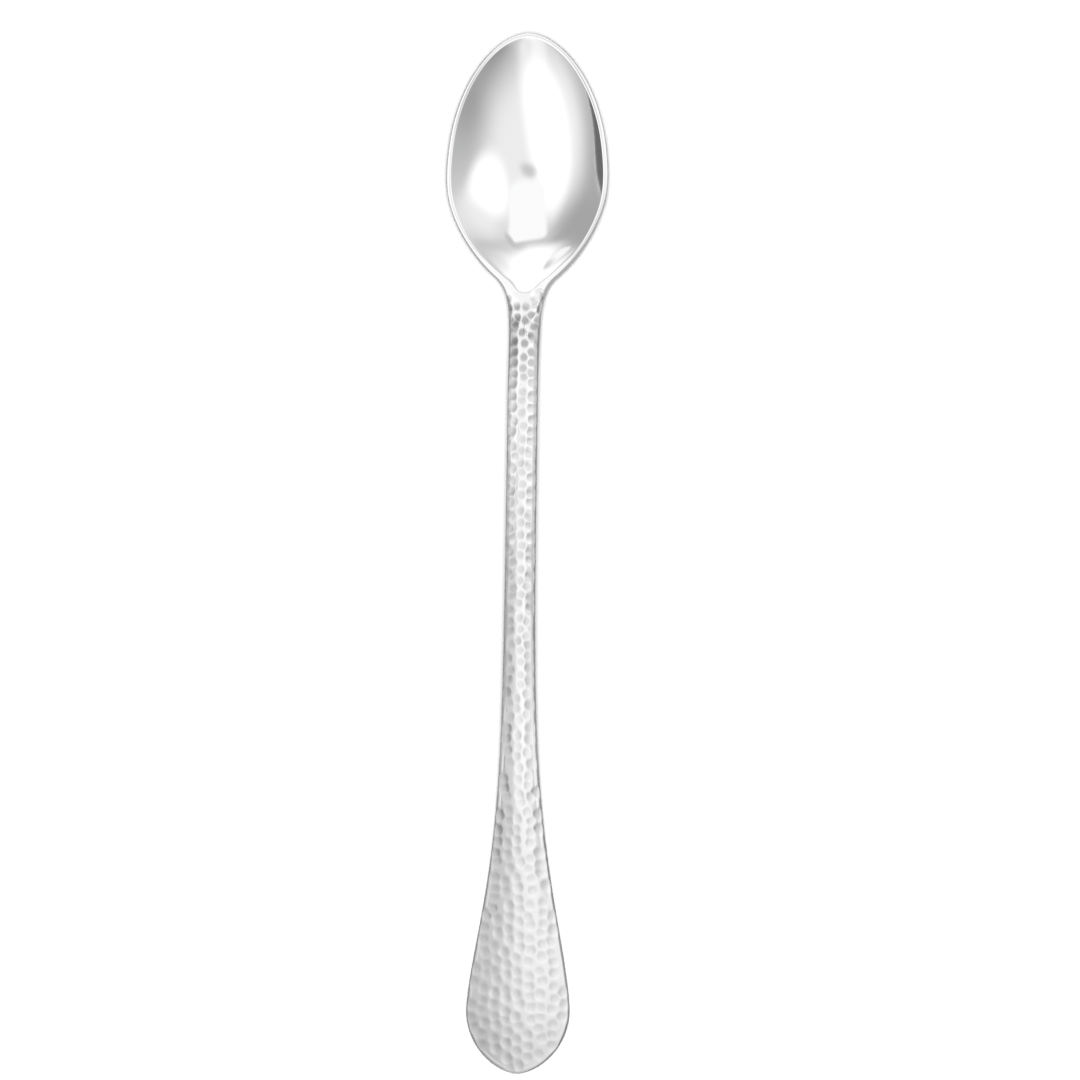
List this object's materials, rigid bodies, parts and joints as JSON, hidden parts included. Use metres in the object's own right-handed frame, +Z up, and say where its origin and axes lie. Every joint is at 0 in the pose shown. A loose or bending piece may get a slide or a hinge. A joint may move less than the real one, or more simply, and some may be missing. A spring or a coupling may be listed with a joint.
{
  "type": "iced tea spoon",
  "caption": "Long-handled stainless spoon with an egg-shaped polished bowl and a hammered handle that widens to a rounded end.",
  "frame": {"origin": "middle of the spoon's length and width, on the surface that it lies on", "axes": "+Y along the spoon towards the bowl's tip, +Z up out of the bowl's hollow, +X to the right"},
  "size_m": [0.0296, 0.19, 0.0113],
  "materials": {
    "polished_steel": "mirror polished stainless steel",
    "hammered_steel": "hammered stainless steel, softly polished"
  },
  "bodies": {
    "root": {"bowl": "polished_steel", "handle": "hammered_steel"}
  },
  "joints": []
}
